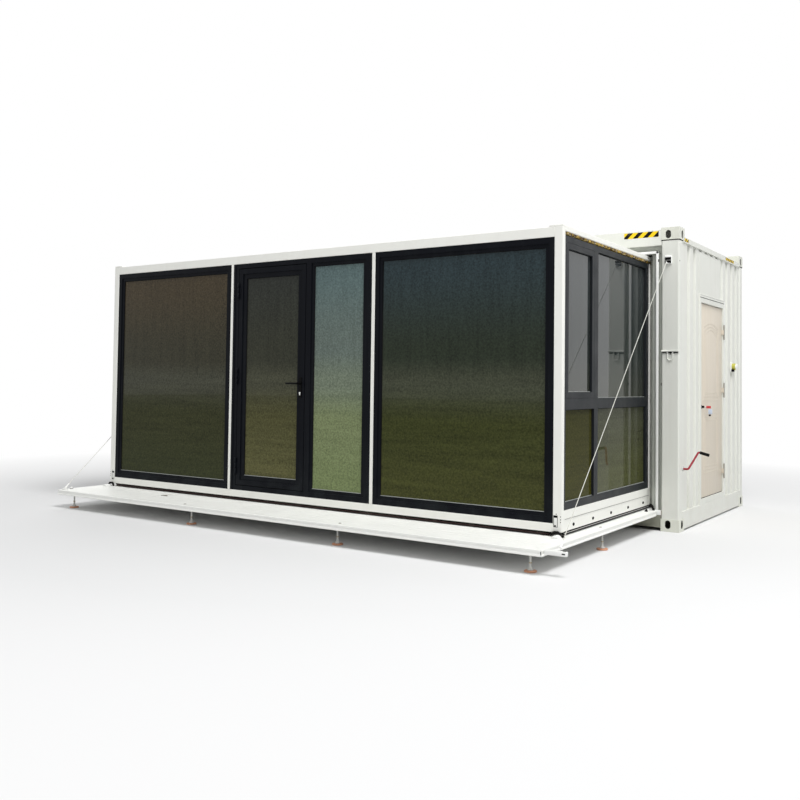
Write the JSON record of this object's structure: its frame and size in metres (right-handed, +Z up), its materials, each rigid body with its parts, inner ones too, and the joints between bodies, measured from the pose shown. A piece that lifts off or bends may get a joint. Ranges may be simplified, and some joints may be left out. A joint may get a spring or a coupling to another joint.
{
  "type": "expandable container cabin",
  "caption": "Container cabin with a glazed slide-out room over a fold-down deck, a side door, taut stays and screw feet.",
  "frame": {"origin": "middle of the whole footprint, on the ground", "axes": "+Z up, +X along the container towards the end with the side door, the slide-out room and its deck towards -Y"},
  "size_m": [6.2718, 4.998, 2.896],
  "materials": {
    "container_white": "satin white paint on corrugated steel",
    "casting_white": "satin white paint on cast steel",
    "underframe_grey": "weathered grey paint",
    "floor_ply": "sealed floor board",
    "opening_grey": "satin pale grey paint",
    "deck_white": "white paint with faint wear",
    "galvanised": "dull zinc",
    "pad_terracotta": "matt orange-brown",
    "stay_wire": "pale sheathed wire rope",
    "room_white": "satin white paint",
    "room_floor_board": "matt floor covering",
    "foam_yellow": "cut insulation edge",
    "seal_rubber": "matt black",
    "frame_charcoal": "dark grey powder coat",
    "tinted_glass": "tinted, reflective",
    "handle_black": "black powder coat",
    "door_beige": "beige foil with a faint wood grain",
    "hinge_steel": "dull steel",
    "crank_red": "red paint",
    "grip_black": "matt black sleeve"
  },
  "bodies": {
    "container": {"corner_posts": "container_white", "front_header": "container_white", "top_rails": "container_white", "bottom_sills": "container_white", "rear_wall": "container_white", "left_end_wall": "container_white", "door_wall_front": "container_white", "door_wall_rear": "container_white", "door_wall_head": "container_white", "door_head_plate": "container_white", "roof_panel": "container_white", "end_door_casing": "container_white", "casing_hinges": "container_white", "lashing_bars": "container_white", "lower_corner_castings": "casting_white", "upper_corner_castings": "casting_white", "front_bottom_rail": "underframe_grey", "floor_bearers": "underframe_grey", "container_floor": "floor_ply", "opening_jambs": "opening_grey", "opening_head": "opening_grey", "deck_panel": "deck_white", "deck_hinges": "galvanised", "slide_tracks": "galvanised", "jack_feet": "galvanised", "stay_hooks": "galvanised", "stay_brackets": "galvanised", "crank_bearing": "galvanised", "foot_pads": "pad_terracotta", "stay_cables": "stay_wire"},
    "room": {"room_posts": "room_white", "front_mullions": "room_white", "room_front_rail": "room_white", "roof_fascias": "room_white", "room_side_rails": "room_white", "room_roof": "room_white", "roof_corner_caps": "room_white", "room_floor": "room_floor_board", "roof_foam_strips": "foam_yellow", "room_skirt_seals": "seal_rubber", "room_rollers": "galvanised", "front_window_frames": "frame_charcoal", "doorway_frame": "frame_charcoal", "doorway_hinges": "frame_charcoal", "side_window_frames": "frame_charcoal", "side_window_sashes": "frame_charcoal", "front_window_glass": "tinted_glass", "side_window_glass": "tinted_glass"},
    "front_door": {"front_door_leaf": "frame_charcoal", "front_door_glass": "tinted_glass", "front_door_hinges": "frame_charcoal", "front_door_lock_plates": "handle_black"},
    "front_lever": {"front_door_lever": "handle_black"},
    "end_door": {"end_door_leaf": "door_beige", "end_door_hinges": "hinge_steel", "end_door_lock": "galvanised"},
    "crank": {"crank_arm": "crank_red", "crank_grip": "grip_black"}
  },
  "joints": [
    {"name": "room_slide", "type": "slide", "parent": "container", "child": "room", "axis": [0, 1, 0], "range_m": [0, 1.985]},
    {"name": "front_door_hinge", "type": "hinge", "parent": "room", "child": "front_door", "pos_m": [-0.89589, -1.915, 1.357], "axis": [0, 0, -1], "range_deg": [0, 100]},
    {"name": "front_lever_turn", "type": "hinge", "parent": "front_door", "child": "front_lever", "pos_m": [-0.07289, -1.905, 1.357], "axis": [0, -1, 0], "range_deg": [0, 40], "stiffness_Nm_per_rad": 1.5, "springref_deg": -28.65},
    {"name": "end_door_hinge", "type": "hinge", "parent": "container", "child": "end_door", "pos_m": [2.92811, 1.65, 1.17], "axis": [0, 0, 1], "range_deg": [0, 110]},
    {"name": "crank_turn", "type": "hinge", "parent": "container", "child": "crank", "pos_m": [2.91811, 0.179, 0.591], "axis": [1, 0, 0], "continuous": true}
  ]
}
